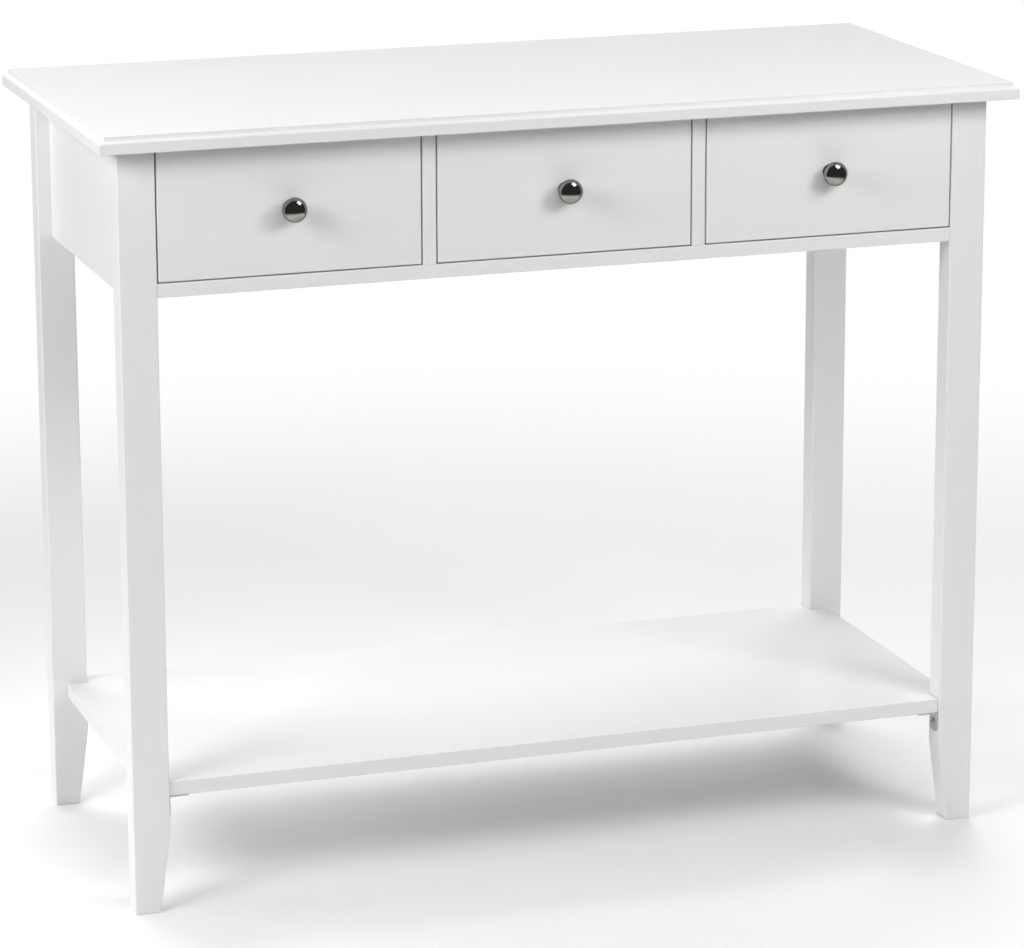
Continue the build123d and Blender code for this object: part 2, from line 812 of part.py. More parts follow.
for drawer_name, steps in (("left", -1), ("middle", 0), ("right", 1)):
    middle_x = steps * drawer_pitch
    prefix = f"drawer_{drawer_name}"
    save(make_drawer_front(middle_x), f"{prefix}_front")
    save(make_drawer_side(middle_x, -1), f"{prefix}_side_left")
    save(make_drawer_side(middle_x, 1), f"{prefix}_side_right")
    save(make_drawer_back(middle_x), f"{prefix}_back")
    save(make_drawer_bottom(middle_x), f"{prefix}_bottom")
    knob_place = Plane(origin=(middle_x, leg_front_y, front_middle), z_dir=(0, -1, 0))
    screw_place = Plane(origin=(middle_x, front_rear_y, front_middle), z_dir=(0, 1, 0))
    place_all(knob.part, [knob_place], f"{prefix}_knob")
    place_all(knob_screw, [screw_place], f"{prefix}_knob_screw")
    cams = drawer_joints(middle_x, drawer_cam_height)
    with BuildPart() as drawer_cams:
        with Locations(*cams):
            add(cam_bolt(drawer_cam))
        with Locations(*[disc_plane(place, drawer_cam) for place in cams]):
            add(cam_disc(drawer_cam))
    save(drawer_cams, f"{prefix}_cams")
    place_all(drawer_dowel, drawer_joints(middle_x, drawer_dowel_height), f"{prefix}_dowels")
    back_screws = [place for side in left_and_right for place in back_screw_planes(middle_x, side)]
    place_all(drawer_screw, back_screws, f"{prefix}_back_screws")
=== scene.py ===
import json
import logging
import math
from dataclasses import dataclass, field
from enum import Enum
from typing import Callable, Iterable, Sequence

import bmesh
import bpy
from mathutils import Matrix, Vector

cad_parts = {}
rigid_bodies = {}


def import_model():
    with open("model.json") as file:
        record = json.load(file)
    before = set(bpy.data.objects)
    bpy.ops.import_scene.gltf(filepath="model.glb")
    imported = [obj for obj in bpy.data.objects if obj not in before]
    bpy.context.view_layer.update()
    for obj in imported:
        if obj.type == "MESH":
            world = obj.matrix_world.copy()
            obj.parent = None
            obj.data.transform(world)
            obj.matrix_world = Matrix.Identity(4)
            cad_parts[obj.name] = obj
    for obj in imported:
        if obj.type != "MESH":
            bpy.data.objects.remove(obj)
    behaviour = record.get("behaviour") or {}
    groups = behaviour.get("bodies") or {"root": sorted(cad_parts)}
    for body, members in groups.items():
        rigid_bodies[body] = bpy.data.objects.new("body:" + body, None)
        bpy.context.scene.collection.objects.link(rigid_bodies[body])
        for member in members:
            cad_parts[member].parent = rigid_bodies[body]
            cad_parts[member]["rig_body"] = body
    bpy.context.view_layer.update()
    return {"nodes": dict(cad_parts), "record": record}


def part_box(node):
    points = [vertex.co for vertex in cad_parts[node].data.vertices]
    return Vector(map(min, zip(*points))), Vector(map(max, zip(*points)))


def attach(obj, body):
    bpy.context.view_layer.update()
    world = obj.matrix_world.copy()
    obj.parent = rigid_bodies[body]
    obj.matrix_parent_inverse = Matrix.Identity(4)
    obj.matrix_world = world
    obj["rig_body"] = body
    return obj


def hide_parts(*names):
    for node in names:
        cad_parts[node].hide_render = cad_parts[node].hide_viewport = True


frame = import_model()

log = logging.getLogger("console_table")

MM = 0.001
TABLE_BODY = "table"
MERGE_DISTANCE = 0.002 * MM
CREASE_DEGREES = 60.0
SHANK_SIDES = 20
SCREW_POINT = 0.2 * MM

Point = tuple[float, float, float]
Colour = tuple[float, float, float, float]
Ring = list[Point]
Socket = bpy.types.NodeSocket
Material = bpy.types.Material
Piece = bpy.types.Object
Line = list[tuple[float, float]]


# ---- Named options ----


class Grain(Enum):
    """The direction that a board's brush marks or wood fibres run along."""

    ALONG_X = 0
    ALONG_Y = 1
    ALONG_Z = 2


class Slot(Enum):
    """The record's material slots."""

    PAINT = "white_paint"
    BOARD = "drawer_board"
    SHEET = "drawer_sheet"
    BEECH = "beech"
    CHROME = "chrome"
    ZINC = "zinc"


class Head(Enum):
    """How a screw's head sits."""

    PAN = False
    COUNTERSUNK = True


# ---- Shader recipes ----


class Bench:
    """A node tree, with short calls that add to it."""

    def __init__(self, tree: bpy.types.NodeTree) -> None:
        """Empties the tree and keeps it."""
        self.tree = tree
        tree.nodes.clear()

    def node(self, kind: str, inputs: dict | None = None, **settings: object) -> bpy.types.Node:
        """Adds one node.

        Args:
            kind: The node's Blender type.
            inputs: A value, an output socket or a list of sockets for each input, by name or number.
            **settings: Attributes of the node itself.

        Returns:
            The new node.
        """
        made = self.tree.nodes.new(kind)
        for key, value in settings.items():
            setattr(made, key, value)
        for key, value in (inputs or {}).items():
            for item in value if isinstance(value, list) else [value]:
                if isinstance(item, Socket):
                    self.tree.links.new(item, made.inputs[key])
                else:
                    made.inputs[key].default_value = item
        return made

    def sums(self, operation: str, first: object, second: object) -> Socket:
        """Returns one sum of two numbers, either of them a socket."""
        return self.node("ShaderNodeMath", {0: first, 1: second}, operation=operation).outputs[0]

    def blend(self, amount: Socket, first: object, second: object) -> Socket:
        """Returns a colour that runs from the first to the second as the amount goes from 0 to 1."""
        mixed = self.node("ShaderNodeMix", {0: amount, 6: first, 7: second}, data_type="RGBA")
        return mixed.outputs[2]


class Recipe(Bench):
    """A material's node tree, with calls for the patterns that the finishes share."""

    def __init__(self, name: str, grain: Grain | None = None) -> None:
        """Starts an empty material, named after the finish and its grain's direction.

        Args:
            name: The finish.
            grain: The direction, or None for a finish that has none.
        """
        self.material = bpy.data.materials.new(f"{name}_{grain.name.lower()}" if grain else name)
        self.material.use_nodes = True
        super().__init__(self.material.node_tree)

    def place(self, scale: Sequence[float]) -> Socket:
        """Returns object coordinates, stretched by the given scale on X, Y and Z."""
        source = self.node("ShaderNodeTexCoord").outputs["Object"]
        return self.node("ShaderNodeMapping", {"Vector": source, "Scale": tuple(scale)}).outputs[0]

    def noise(self, scale: Sequence[float], detail: float = 3.0, roughness: float = 0.5) -> Socket:
        """Returns a noise from 0 to 1, its scale given as features per metre on each axis."""
        values = {"Vector": self.place(scale), "Scale": 1.0, "Detail": detail, "Roughness": roughness}
        return self.node("ShaderNodeTexNoise", values).outputs[0]

    def cells(self, scale: Sequence[float], feature: str = "F1") -> Socket:
        """Returns the distance to the nearest of scattered points, given as points per metre."""
        values = {"Vector": self.place(scale), "Scale": 1.0}
        return self.node("ShaderNodeTexVoronoi", values, feature=feature).outputs["Distance"]

    def span(self, value: Socket, low: float, high: float, to_low: float = 0.0,
             to_high: float = 1.0) -> Socket:
        """Returns the value mapped from low..high to to_low..to_high, smooth and held at the ends."""
        limits = {0: value, 1: low, 2: high, 3: to_low, 4: to_high}
        return self.node("ShaderNodeMapRange", limits, interpolation_type="SMOOTHSTEP").outputs[0]

    def edges(self, radius: float) -> Socket:
        """Finds the outer and inner edges of a piece.

        Args:
            radius: How far from an edge still counts, in metres.

        Returns:
            1 on an edge and 0 on an open face.
        """
        rounded = self.node("ShaderNodeBevel", {"Radius": radius}, samples=4).outputs[0]
        true_normal = self.node("ShaderNodeNewGeometry").outputs["True Normal"]
        dot = self.node("ShaderNodeVectorMath", {0: rounded, 1: true_normal}, operation="DOT_PRODUCT")
        return self.span(dot.outputs["Value"], 0.999, 0.80)

    def bump(self, height: Socket, depth: float, under: Socket | None = None) -> Socket:
        """Raises the surface's normal.

        Args:
            height: The pattern's height.
            depth: What the height is multiplied by, in metres.
            under: Another normal that this one lies on.

        Returns:
            The new normal.
        """
        values = {"Height": height, "Distance": depth, "Strength": 1.0}
        if under is not None:
            values["Normal"] = under
        return self.node("ShaderNodeBump", values).outputs[0]

    def surface(self, **values: object) -> Material:
        """Ends the tree with one shader.

        Args:
            **values: The shader's inputs, with _ for a space in their names.

        Returns:
            The finished material.
        """
        inputs = {key.replace("_", " "): value for key, value in values.items()}
        shader = self.node("ShaderNodeBsdfPrincipled", inputs)
        self.node("ShaderNodeOutputMaterial", {"Surface": shader.outputs[0]})
        return self.material


def stretched(grain: Grain, along: float, across: float) -> Point:
    """Returns a scale with few features along the grain and many across it.

    Args:
        grain: The grain's direction.
        along: Features per metre along it.
        across: Features per metre across it.

    Returns:
        The scale on X, Y and Z.
    """
    scale = [across, across, across]
    scale[grain.value] = along
    return tuple(scale)


def even(count: float) -> Point:
    """Returns a scale with the same number of features per metre on every axis."""
    return (count, count, count)


# ---- Finishes ----


@dataclass(frozen=True)
class SatinPaint:
    """White satin paint, sprayed on sanded board, with faint marks along the board's length."""

    colour: Colour = (0.850, 0.850, 0.846, 1.0)
    shade: Colour = (0.815, 0.815, 0.808, 1.0)
    thin_edge: Colour = (0.785, 0.778, 0.760, 1.0)
    roughness: float = 0.40
    roughness_spread: float = 0.015
    edge_wear: float = 0.7
    peel_depth: float = 0.035 * MM
    streak_depth: float = 0.030 * MM
    grit_depth: float = 0.015 * MM

    def make(self, grain: Grain) -> Material:
        """Builds the material for boards whose length runs along the grain.

        Args:
            grain: The direction of the boards' length.

        Returns:
            The material.
        """
        recipe = Recipe("satin_paint", grain)
        clouds = recipe.noise(even(5.0), detail=2.0)
        streaks = recipe.noise(stretched(grain, 7.0, 420.0), detail=4.0, roughness=0.65)
        fine_streaks = recipe.noise(stretched(grain, 22.0, 1100.0), detail=3.0, roughness=0.6)
        peel = recipe.noise(even(330.0), detail=2.0)
        grit = recipe.span(recipe.cells(even(240.0)), 0.055, 0.02)
        cloud_tint = recipe.span(clouds, 0.3, 0.7, 0.0, 0.1)
        tint = recipe.sums("ADD", cloud_tint, recipe.span(streaks, 0.35, 0.75, 0.0, 0.22))
        tint = recipe.sums("ADD", tint, recipe.span(fine_streaks, 0.45, 0.75, 0.0, 0.15))
        colour = recipe.blend(tint, self.colour, self.shade)
        patches = recipe.span(recipe.noise(even(60.0)), 0.25, 0.75, 0.35, 1.0)
        worn = recipe.sums("MULTIPLY", recipe.edges(1.0 * MM), patches)
        colour = recipe.blend(recipe.sums("MULTIPLY", worn, self.edge_wear), colour, self.thin_edge)
        low, high = self.roughness - self.roughness_spread, self.roughness + self.roughness_spread
        roughness = recipe.span(recipe.noise(even(18.0)), 0.25, 0.75, low, high)
        normal = recipe.bump(peel, self.peel_depth)
        normal = recipe.bump(recipe.sums("ADD", streaks, fine_streaks), self.streak_depth, normal)
        normal = recipe.bump(grit, self.grit_depth, normal)
        return recipe.surface(Base_Color=colour, Roughness=roughness, Normal=normal, IOR=1.49,
                              Coat_Weight=0.06, Coat_Roughness=0.22)


@dataclass(frozen=True)
class MelamineBoard:
    """White melamine-faced board with a fine pebbled skin."""

    colour: Colour = (0.79, 0.79, 0.775, 1.0)
    shade: Colour = (0.74, 0.74, 0.72, 1.0)

    def make(self, grain: Grain) -> Material:
        """Builds the material for boards whose length runs along the grain.

        Args:
            grain: The direction of the boards' length.

        Returns:
            The material.
        """
        recipe = Recipe("melamine_board", grain)
        pebbles = recipe.cells(even(900.0), feature="SMOOTH_F1")
        clouds = recipe.noise(even(9.0))
        fibres = recipe.noise(stretched(grain, 12.0, 500.0), detail=4.0)
        colour = recipe.blend(recipe.sums("MULTIPLY", clouds, fibres), self.colour, self.shade)
        roughness = recipe.span(clouds, 0.3, 0.7, 0.42, 0.52)
        normal = recipe.bump(pebbles, 0.04 * MM)
        normal = recipe.bump(fibres, 0.02 * MM, normal)
        return recipe.surface(Base_Color=colour, Roughness=roughness, Normal=normal, IOR=1.5)


@dataclass(frozen=True)
class WhiteHardboard:
    """Thin hardboard, white-lacquered, with the mesh print of the press showing through."""

    colour: Colour = (0.77, 0.76, 0.74, 1.0)
    speck: Colour = (0.62, 0.58, 0.52, 1.0)

    def make(self, grain: Grain) -> Material:
        """Builds the material.

        Args:
            grain: The direction of its faint fibres.

        Returns:
            The material.
        """
        recipe = Recipe("white_hardboard", grain)
        across, along = recipe.noise((700.0, 90.0, 700.0)), recipe.noise((90.0, 700.0, 700.0))
        weave = recipe.sums("MULTIPLY", across, along)
        specks = recipe.span(recipe.cells(even(160.0)), 0.10, 0.05)
        fibres = recipe.noise(stretched(grain, 30.0, 600.0), detail=5.0)
        amount = recipe.sums("MULTIPLY", recipe.sums("ADD", specks, recipe.span(fibres, 0.5, 0.9)), 0.35)
        colour = recipe.blend(amount, self.colour, self.speck)
        normal = recipe.bump(weave, 0.10 * MM)
        roughness = recipe.span(fibres, 0.3, 0.7, 0.5, 0.62)
        return recipe.surface(Base_Color=colour, Roughness=roughness, Normal=normal)


@dataclass(frozen=True)
class BareBeech:
    """Bare beech with its short dark flecks."""

    pale: Colour = (0.66, 0.47, 0.29, 1.0)
    dark: Colour = (0.52, 0.33, 0.18, 1.0)
    fleck: Colour = (0.33, 0.18, 0.09, 1.0)

    def make(self, grain: Grain) -> Material:
        """Builds the material.

        Args:
            grain: The direction of the piece's fibres.

        Returns:
            The material.
        """
        recipe = Recipe("bare_beech", grain)
        rings = recipe.noise(stretched(grain, 5.0, 160.0), detail=3.0)
        fibres = recipe.noise(stretched(grain, 35.0, 1400.0), detail=4.0)
        flecks = recipe.span(recipe.cells(stretched(grain, 180.0, 900.0)), 0.22, 0.08)
        colour = recipe.blend(recipe.span(rings, 0.3, 0.7), self.pale, self.dark)
        colour = recipe.blend(recipe.sums("MULTIPLY", flecks, 0.55), colour, self.fleck)
        normal = recipe.bump(fibres, 0.05 * MM)
        roughness = recipe.span(fibres, 0.3, 0.7, 0.5, 0.68)
        return recipe.surface(Base_Color=colour, Roughness=roughness, Normal=normal)


@dataclass(frozen=True)
class PolishedChrome:
    """Chrome with its colour darkened, a painted shade that dims its reflections and its rim, with a trace of
    fingermarks and the finest polishing lines.
    """

    # Painted shade: the base colour is darkened and greyed so every reflection comes out dim grey.
    colour: Colour = (0.340, 0.345, 0.318, 1.0)
    smudge: Colour = (0.290, 0.295, 0.272, 1.0)
    # Painted shade: a dark tint at grazing angles darkens the reflection round the knob's rim.
    rim_shade_tint: Colour = (0.16, 0.16, 0.16, 1.0)

    def make(self, grain: Grain) -> Material:
        """Builds the material.

        Args:
            grain: The direction of its faint lines, as chrome has no grain.

        Returns:
            The material.
        """
        recipe = Recipe("polished_chrome", grain)
        marks = recipe.span(recipe.noise(even(150.0), detail=4.0, roughness=0.6), 0.48, 0.72)
        lines = recipe.noise(stretched(grain, 900.0, 2600.0), detail=2.0)
        colour = recipe.blend(marks, self.colour, self.smudge)
        roughness = recipe.span(marks, 0.0, 1.0, 0.045, 0.11)
        normal = recipe.bump(lines, 0.0012 * MM)
        return recipe.surface(Base_Color=colour, Metallic=1.0, Roughness=roughness, Normal=normal,
                              Specular_Tint=self.rim_shade_tint)


@dataclass(frozen=True)
class ZincPlate:
    """Bright zinc plating on pressed steel, a little cloudy, with dulled edges."""

    colour: Colour = (0.62, 0.63, 0.65, 1.0)
    cloud: Colour = (0.50, 0.52, 0.56, 1.0)
    dull_edge: Colour = (0.40, 0.39, 0.37, 1.0)

    def make(self, grain: Grain) -> Material:
        """Builds the material.

        Args:
            grain: The direction of its rolling marks.

        Returns:
            The material.
        """
        recipe = Recipe("zinc_plate", grain)
        clouds = recipe.cells(even(320.0))
        rolling = recipe.noise(stretched(grain, 60.0, 2200.0), detail=3.0)
        colour = recipe.blend(recipe.span(clouds, 0.15, 0.75), self.colour, self.cloud)
        colour = recipe.blend(recipe.sums("MULTIPLY", recipe.edges(0.25 * MM), 0.6), colour, self.dull_edge)
        roughness = recipe.span(recipe.sums("MULTIPLY", clouds, rolling), 0.05, 0.4, 0.28, 0.46)
        normal = recipe.bump(rolling, 0.006 * MM)
        return recipe.surface(Base_Color=colour, Metallic=1.0, Roughness=roughness, Normal=normal)


class FinishShop:
    """Makes each finish once per grain direction and hands it out by the record's slot."""

    def __init__(self) -> None:
        """Sets out which finish belongs to which slot."""
        self.finishes: dict[Slot, Callable[[Grain], Material]] = {
            Slot.PAINT: SatinPaint().make,
            Slot.BOARD: MelamineBoard().make,
            Slot.SHEET: WhiteHardboard().make,
            Slot.BEECH: BareBeech().make,
            Slot.CHROME: PolishedChrome().make,
            Slot.ZINC: ZincPlate().make,
        }
        self.made: dict[tuple[Slot, Grain], Material] = {}

    def get(self, slot: Slot, grain: Grain) -> Material:
        """Finds a finish, or builds it the first time.

        Args:
            slot: The material slot.
            grain: The grain's direction.

        Returns:
            The material.
        """
        if (slot, grain) not in self.made:
            self.made[slot, grain] = self.finishes[slot](grain)
        return self.made[slot, grain]


# ---- Mesh helpers ----


def longest_axis(low: Vector, high: Vector) -> Grain:
    """Returns the axis along which a box is longest."""
    size = list(high - low)
    return Grain(size.index(max(size)))


def new_object(name: str, mesh: bpy.types.Mesh) -> Piece:
    """Links a mesh to the scene.

    Args:
        name: The new object's name.
        mesh: Its mesh.

    Returns:
        The new object.
    """
    made = bpy.data.objects.new(name, mesh)
    bpy.context.scene.collection.objects.link(made)
    return made


def rounded_ring(low: tuple[float, float], high: tuple[float, float], z: float, radius: float,
                 steps: int = 4) -> Ring:
    """Returns a level rectangle with rounded corners.

    Args:
        low: Its lowest X and Y.
        high: Its highest X and Y.
        z: Its height.
        radius: The corners' radius.
        steps: Runs in each corner.

    Returns:
        The points, counter-clockwise from above.
    """
    centres = [
        (high[0] - radius, low[1] + radius, -90.0),
        (high[0] - radius, high[1] - radius, 0.0),
        (low[0] + radius, high[1] - radius, 90.0),
        (low[0] + radius, low[1] + radius, 180.0),
    ]
    ring: Ring = []
    for x, y, start in centres:
        for step in range(steps + 1):
            angle = math.radians(start + 90.0 * step / steps)
            ring.append((x + radius * math.cos(angle), y + radius * math.sin(angle), z))
    return ring


def loft(name: str, rings: Sequence[Ring]) -> Piece:
    """Skins closed rings of equal length, from the lowest up, and closes both ends.

    Args:
        name: The new object's name.
        rings: The rings, each counter-clockwise seen from the last one's side.

    Returns:
        The new object.
    """
    count = len(rings[0])
    points = [point for ring in rings for point in ring]
    faces: list[tuple[int, ...]] = []
    for level in range(len(rings) - 1):
        base = level * count
        for index in range(count):
            after = (index + 1) % count
            faces.append((base + index, base + after, base + count + after, base + count + index))
    faces.append(tuple(reversed(range(count))))
    faces.append(tuple(range(len(points) - count, len(points))))
    mesh = bpy.data.meshes.new(name)
    mesh.from_pydata(points, [], faces)
    return new_object(name, mesh)


def extrude_outline(name: str, outline: Line, low: float, high: float) -> Piece:
    """Stands a flat outline up between two heights.

    Args:
        name: The new object's name.
        outline: Points in X and Y, counter-clockwise from above.
        low: The underside's height.
        high: The upper side's height.

    Returns:
        The new object.
    """
    return loft(name, [[(x, y, z) for x, y in outline] for z in (low, high)])


def settle(piece: Piece, bevel: float = 0.0, segments: int = 3, sharp_degrees: float = 40.0) -> Piece:
    """Rounds a piece's edges, evens its shading and leaves one plain mesh.

    Args:
        piece: The piece.
        bevel: The radius that its sharp edges are rounded to, or 0 for none.
        segments: Runs in each rounded edge.
        sharp_degrees: The angle past which an edge is sharp.

    Returns:
        The same piece.
    """
    piece.data.shade_smooth()
    if bevel > 0:
        rounding = piece.modifiers.new("rounding", "BEVEL")
        rounding.width = bevel
        rounding.segments = segments
        rounding.limit_method = "ANGLE"
        rounding.angle_limit = math.radians(sharp_degrees)
    else:
        piece.data.set_sharp_from_angle(angle=math.radians(CREASE_DEGREES))
    shading = piece.modifiers.new("shading", "WEIGHTED_NORMAL")
    shading.keep_sharp = True
    return bake_modifiers(piece)


def bake_modifiers(piece: Piece) -> Piece:
    """Turns a piece's evaluated shape into its own plain mesh and removes the modifiers.

    Args:
        piece: The piece.

    Returns:
        The same piece.
    """
    graph = bpy.context.evaluated_depsgraph_get()
    mesh = bpy.data.meshes.new_from_object(piece.evaluated_get(graph))
    mesh.name = piece.name
    piece.modifiers.clear()
    piece.data = mesh
    return piece


def dress(piece: Piece, material: Material) -> None:
    """Gives a piece one material."""
    piece.data.materials.clear()
    piece.data.materials.append(material)


@dataclass
class Workshop:
    """What every sub-assembly needs to finish its pieces."""

    shop: FinishShop = field(default_factory=FinishShop)

    def deliver(self, piece: Piece, slot: Slot, grain: Grain, body: str, nodes: Iterable[str]) -> None:
        """Dresses a finished piece and puts it in the frame in place of CAD nodes.

        Args:
            piece: The piece, with its place in its mesh.
            slot: The record's material slot.
            grain: The direction of its grain.
            body: The body that it moves with.
            nodes: The CAD nodes that it stands for.
        """
        dress(piece, self.shop.get(slot, grain))
        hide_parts(*nodes)
        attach(piece, body)
        log.info("%s: %d faces on %s", piece.name, len(piece.data.polygons), body)


# ---- Top, legs and shelf ----


@dataclass
class TopPanel:
    """The moulded top: a plain face, a round shoulder, a hollow and a flat."""

    works: Workshop
    face_height: float = 9.5 * MM
    shoulder: float = 2.5 * MM
    cove_width: float = 3.0 * MM
    cove_power: float = 1.15
    arris: float = 0.5 * MM
    arris_near: float = 0.12
    arris_far: float = 0.35
    corner: float = 0.9 * MM
    arc_steps: int = 8

    def profile(self, thickness: float) -> Line:
        """Draws the moulding.

        Args:
            thickness: The board's thickness.

        Returns:
            Its line as (inset, height), from the underside to the flat.
        """
        near, far = self.arris_near * self.arris, self.arris_far * self.arris
        line = [(self.arris, 0.0), (near, far), (0.0, self.arris)]
        line += [(0.0, self.face_height * part) for part in (0.34, 0.67)]
        for step in range(self.arc_steps + 1):
            angle = math.radians(90.0 * step / self.arc_steps)
            rise = self.shoulder * math.sin(angle)
            line.append((self.shoulder - self.shoulder * math.cos(angle), self.face_height + rise))
        cove_foot = self.face_height + self.shoulder
        cove_rise = thickness - cove_foot - self.arris
        for step in range(1, self.arc_steps + 1):
            angle = math.radians(90.0 * step / self.arc_steps)
            inset = self.shoulder + self.cove_width * math.sin(angle) ** self.cove_power
            line.append((inset, cove_foot + cove_rise * (1 - math.cos(angle)) ** self.cove_power))
        cove_end = self.shoulder + self.cove_width
        line.append((cove_end + far, thickness - near))
        line.append((cove_end + self.arris, thickness))
        return line

    def build(self) -> None:
        """Lofts the moulding round the top's rectangle and puts it in the frame."""
        low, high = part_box("top_panel")
        rings = []
        for inset, rise in self.profile(high.z - low.z):
            corners = ((low.x + inset, low.y + inset), (high.x - inset, high.y - inset))
            rings.append(rounded_ring(*corners, low.z + rise, self.corner))
        piece = settle(loft("moulded_top", rings))
        self.works.deliver(piece, Slot.PAINT, Grain.ALONG_X, TABLE_BODY, ["top_panel"])


@dataclass
class Legs:
    """Four square-edged legs, each tapered on its inner side above a small chamfered foot."""

    works: Workshop
    foot_width: float = 26.5 * MM
    taper_height: float = 85.0 * MM
    edge: float = 1.3 * MM
    foot_chamfer: float = 0.8 * MM
    bend: float = 1.5 * MM

    def build(self) -> None:
        """Builds every leg from its node's box."""
        for node in ("leg_front_left", "leg_front_right", "leg_back_left", "leg_back_right"):
            self.build_one(node)

    def build_one(self, node: str) -> None:
        """Builds one leg.

        Args:
            node: The CAD node that it stands for.
        """
        low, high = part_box(node)
        taper = (high.x - low.x) - self.foot_width
        on_left = low.x < 0
        rings = []
        for height, pull in self.stations(high.z - low.z):
            lean = taper * max(0.0, 1.0 - height / self.taper_height)
            left = low.x + pull + (0.0 if on_left else lean)
            right = high.x - pull - (lean if on_left else 0.0)
            corners = ((left, low.y + pull), (right, high.y - pull))
            rings.append(rounded_ring(*corners, low.z + height, self.edge))
        piece = settle(loft(f"tapered_{node}", rings))
        self.works.deliver(piece, Slot.PAINT, Grain.ALONG_Z, TABLE_BODY, [node])

    def stations(self, top: float) -> Line:
        """Lists the leg's rings, with two close together round the taper's bend.

        Args:
            top: The height of the leg's upper end.

        Returns:
            (height, pull-in) of each ring, from the floor up.
        """
        return [
            (0.0, self.foot_chamfer),
            (self.foot_chamfer, 0.0),
            (self.taper_height - self.bend, 0.0),
            (self.taper_height + self.bend, 0.0),
            (top, 0.0),
        ]


@dataclass
class LowerShelf:
    """The shelf board, its corners notched round the legs."""

    works: Workshop
    leg_gap: float = 0.15 * MM
    edge: float = 1.1 * MM

    def outline(self) -> Line:
        """Draws the shelf's notched outline.

        Returns:
            Its corners, counter-clockwise from above.
        """
        low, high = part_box("lower_shelf")
        front_leg_low, front_leg_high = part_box("leg_front_right")
        back_leg_low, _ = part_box("leg_back_right")
        notch_x = front_leg_low.x - self.leg_gap
        front_y = front_leg_high.y + self.leg_gap
        back_y = back_leg_low.y - self.leg_gap
        right = [(notch_x, low.y), (notch_x, front_y), (high.x, front_y)]
        right += [(high.x, back_y), (notch_x, back_y), (notch_x, high.y)]
        return right + [(-x, y) for x, y in reversed(right)]

    def build(self) -> None:
        """Builds the board and rounds its edges."""
        low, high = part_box("lower_shelf")
        board = extrude_outline("notched_shelf", self.outline(), low.z, high.z)
        piece = settle(board, bevel=self.edge)
        self.works.deliver(piece, Slot.PAINT, Grain.ALONG_X, TABLE_BODY, ["lower_shelf"])


# ---- Drawer fronts and knobs ----


@dataclass
class DrawerFronts:
    """Three flat fronts with softly rounded front edges."""

    works: Workshop
    edge: float = 1.0 * MM

    def build(self) -> None:
        """Builds each front from its node's box."""
        for side in ("left", "middle", "right"):
            node = f"drawer_{side}_front"
            low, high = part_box(node)
            outline = [(low.x, low.y), (high.x, low.y), (high.x, high.y), (low.x, high.y)]
            board = extrude_outline(f"front_board_{side}", outline, low.z, high.z)
            piece = settle(board, bevel=self.edge)
            self.works.deliver(piece, Slot.PAINT, Grain.ALONG_X, f"drawer_{side}", [node])


@dataclass
class Knobs:
    """Turned and chromed knobs: a stepped base, a waisted neck and a flattened ball."""

    works: Workshop
    base_radius: float = 8.0 * MM
    neck_radius: float = 4.7 * MM
    rim_radius: float = 7.0 * MM
    head_middle: float = 15.5 * MM
    base_height: float = 1.3 * MM
    base_step: float = 0.35 * MM
    base_land: float = 1.1 * MM
    neck_start: float = 2.0 * MM
    neck_overlap: float = 0.25 * MM
    neck_steps: int = 12
    rim_steps: int = 24
    rim_start_degrees: float = -94.0
    dome_steps: int = 16
    turns: int = 96

    def profile(self, radius: float, length: float) -> Line:
        """Draws the knob's turned line.

        Args:
            radius: The head's radius.
            length: How far the knob stands out.

        Returns:
            The line as (radius, distance from the drawer's front), from the base outwards.
        """
        base, step, height = self.base_radius, self.base_step, self.base_height
        line = [(base - step, 0.0), (base, step), (base, height)]
        line += [(base - step, height + step), (base - self.base_land, height + 1.4 * step)]
        neck_end = self.head_middle - self.rim_radius + self.neck_overlap
        flare = base - height - self.neck_radius
        for part in range(1, self.neck_steps + 1):
            along = part / self.neck_steps
            out = self.neck_start + (neck_end - self.neck_start) * along
            line.append((self.neck_radius + flare * (1 - along) ** 3, out))
        rim_centre = radius - self.rim_radius
        rise = length - self.head_middle
        dome = (rise**2 + rim_centre**2 - self.rim_radius**2) / (2 * (rise - self.rim_radius))
        dome_centre = length - dome
        tangent = math.atan2(self.head_middle - dome_centre, rim_centre)
        start = math.radians(self.rim_start_degrees)
        for part in range(self.rim_steps + 1):
            angle = start + (tangent - start) * part / self.rim_steps
            line.append((rim_centre + self.rim_radius * math.cos(angle),
                         self.head_middle + self.rim_radius * math.sin(angle)))
        for part in range(1, self.dome_steps):
            angle = tangent + (math.pi / 2 - tangent) * part / self.dome_steps
            line.append((dome * math.cos(angle), dome_centre + dome * math.sin(angle)))
        return line

    def build(self) -> None:
        """Turns a knob for every drawer."""
        for side in ("left", "middle", "right"):
            node = f"drawer_{side}_knob"
            low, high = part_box(node)
            centre = (low + high) / 2
            rings = []
            for radius, out in self.profile((high.x - low.x) / 2, high.y - low.y):
                rings.append([
                    (centre.x + radius * math.cos(angle), high.y - out, centre.z + radius * math.sin(angle))
                    for angle in (2 * math.pi * turn / self.turns for turn in range(self.turns))
                ])
            piece = loft(f"turned_knob_{side}", rings)
            self.round_tip(piece, Vector((centre.x, low.y, centre.z)))
            piece.data.shade_smooth()
            self.works.deliver(piece, Slot.CHROME, Grain.ALONG_Y, f"drawer_{side}", [node])

    def round_tip(self, piece: Piece, tip: Vector) -> None:
        """Replaces the flat closing face at the knob's end with a fan to its tip.

        Args:
            piece: The knob.
            tip: Its foremost point.
        """
        shape = bmesh.new()
        shape.from_mesh(piece.data)
        shape.faces.ensure_lookup_table()
        bmesh.ops.poke(shape, faces=[shape.faces[-1]])
        end = min(shape.verts, key=lambda vertex: vertex.co.y + (vertex.co - tip).length)
        end.co = tip
        bmesh.ops.recalc_face_normals(shape, faces=shape.faces)
        shape.to_mesh(piece.data)
        shape.free()


# ---- Hardware ----


